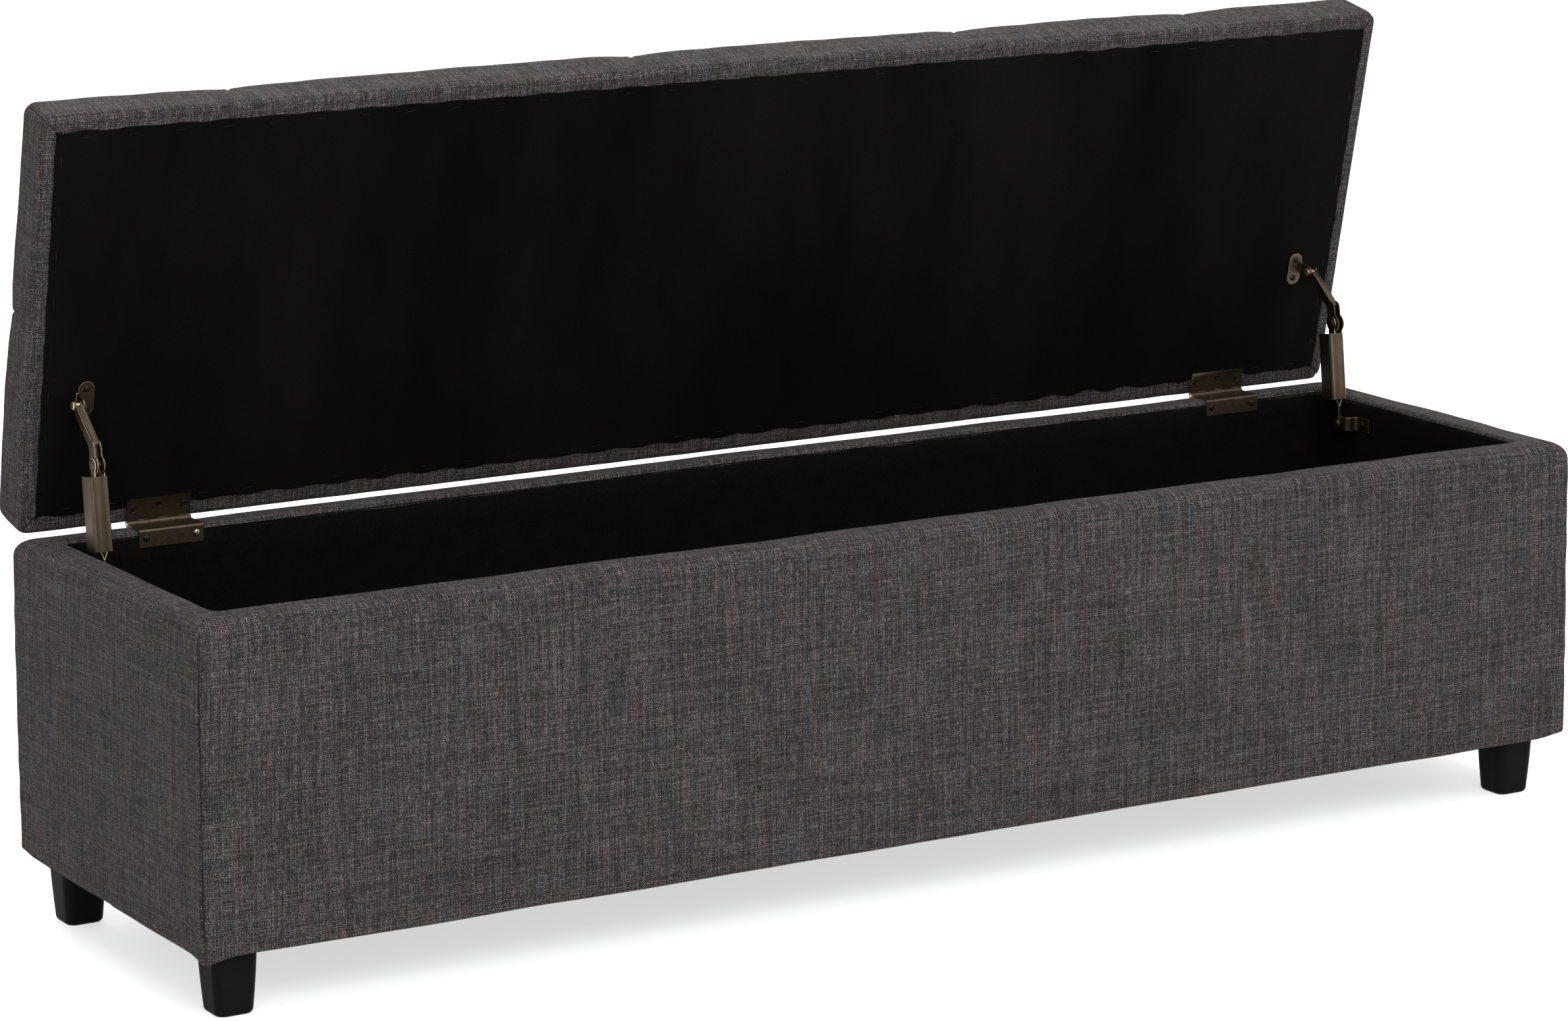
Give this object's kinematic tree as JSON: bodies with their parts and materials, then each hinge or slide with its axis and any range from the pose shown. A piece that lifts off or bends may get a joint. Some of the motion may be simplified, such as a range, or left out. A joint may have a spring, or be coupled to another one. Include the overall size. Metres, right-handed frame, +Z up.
{
  "type": "storage bench",
  "caption": "Long upholstered storage bench with a tufted lift-up lid, two cranked hinges, folding lid stays and tapered feet.",
  "frame": {"origin": "on the floor, under the middle of the whole bench with its lid open", "axes": "+X along the bench to the right seen from the front, +Y towards the hinged back, +Z up"},
  "size_m": [1.5, 0.4638, 0.7728],
  "materials": {
    "upholstery": "woven charcoal upholstery with a slub weave",
    "foam": "open-cell foam",
    "plywood": "raw plywood",
    "lining": "black non-woven felt",
    "dust_cloth": "black fine-woven cloth",
    "foot_plastic": "black satin moulded plastic",
    "twine": "waxed twine",
    "zinc_steel": "zinc-plated steel",
    "spring_steel": "oiled spring steel",
    "yellow_zinc": "yellow zinc-plated steel",
    "dark_screw": "blackened steel",
    "antique_brass": "antique brass plated steel, rubbed bright at the edges"
  },
  "bodies": {
    "box": {"bottom_board": "plywood", "front_panel": "plywood", "back_panel": "plywood", "left_end_panel": "plywood", "right_end_panel": "plywood", "front_foam": "foam", "back_foam": "foam", "left_foam": "foam", "right_foam": "foam", "body_cover": "upholstery", "body_lining": "lining", "bottom_dust_cover": "dust_cloth", "bottom_staples": "zinc_steel", "panel_screws": "yellow_zinc", "foot_front_left": "foot_plastic", "foot_front_right": "foot_plastic", "foot_back_left": "foot_plastic", "foot_back_right": "foot_plastic", "foot_bolts": "zinc_steel", "tee_nuts": "zinc_steel", "hinge_lower_leaf_left": "antique_brass", "hinge_lower_leaf_right": "antique_brass", "hinge_pin_left": "antique_brass", "hinge_pin_right": "antique_brass", "hinge_lower_screws": "dark_screw", "stay_base_bracket_left": "antique_brass", "stay_base_bracket_right": "antique_brass", "stay_base_screws": "dark_screw"},
    "lid": {"lid_board": "plywood", "lid_foam": "foam", "lid_cover": "upholstery", "lid_buttons": "upholstery", "button_ties": "twine", "lid_dust_cover": "dust_cloth", "lid_staples": "zinc_steel", "hinge_upper_leaf_left": "antique_brass", "hinge_upper_leaf_right": "antique_brass", "hinge_upper_screws": "dark_screw", "stay_lid_bracket_left": "antique_brass", "stay_lid_bracket_right": "antique_brass", "stay_lid_screws": "dark_screw", "stay_lid_rivet_left": "antique_brass", "stay_lid_rivet_right": "antique_brass"},
    "stay_upper_left": {"stay_upper_arm_left": "antique_brass"},
    "stay_lower_left": {"stay_lower_arm_left": "antique_brass", "stay_cover_left": "antique_brass", "stay_spring_left": "spring_steel", "stay_knee_rivet_left": "antique_brass", "stay_foot_rivet_left": "antique_brass"},
    "stay_upper_right": {"stay_upper_arm_right": "antique_brass"},
    "stay_lower_right": {"stay_lower_arm_right": "antique_brass", "stay_cover_right": "antique_brass", "stay_spring_right": "spring_steel", "stay_knee_rivet_right": "antique_brass", "stay_foot_rivet_right": "antique_brass"}
  },
  "joints": [
    {"name": "lid_hinge", "type": "hinge", "parent": "box", "child": "lid", "pos_m": [0, 0.17013, 0.3635], "axis": [1, 0, 0], "range_deg": [0, 77.5]},
    {"name": "stay_lid_pivot_left", "type": "hinge", "parent": "lid", "child": "stay_upper_left", "pos_m": [-0.698, 0.13201, 0.48923], "axis": [1, 0, 0], "range_deg": [-107.18, 0]},
    {"name": "stay_knee_left", "type": "hinge", "parent": "stay_upper_left", "child": "stay_lower_left", "pos_m": [-0.698, 0.08913, 0.441], "axis": [1, 0, 0], "range_deg": [0, 124.71]},
    {"name": "stay_lid_pivot_right", "type": "hinge", "parent": "lid", "child": "stay_upper_right", "pos_m": [0.698, 0.13201, 0.48923], "axis": [1, 0, 0], "range_deg": [-107.18, 0]},
    {"name": "stay_knee_right", "type": "hinge", "parent": "stay_upper_right", "child": "stay_lower_right", "pos_m": [0.698, 0.08913, 0.441], "axis": [1, 0, 0], "range_deg": [0, 124.71]}
  ],
  "couplings": [
    {"joint": "stay_lid_pivot_left", "follows": "lid_hinge", "ratio": -1.3824},
    {"joint": "stay_knee_left", "follows": "lid_hinge", "ratio": 1.6085},
    {"joint": "stay_lid_pivot_right", "follows": "lid_hinge", "ratio": -1.3824},
    {"joint": "stay_knee_right", "follows": "lid_hinge", "ratio": 1.6085}
  ]
}
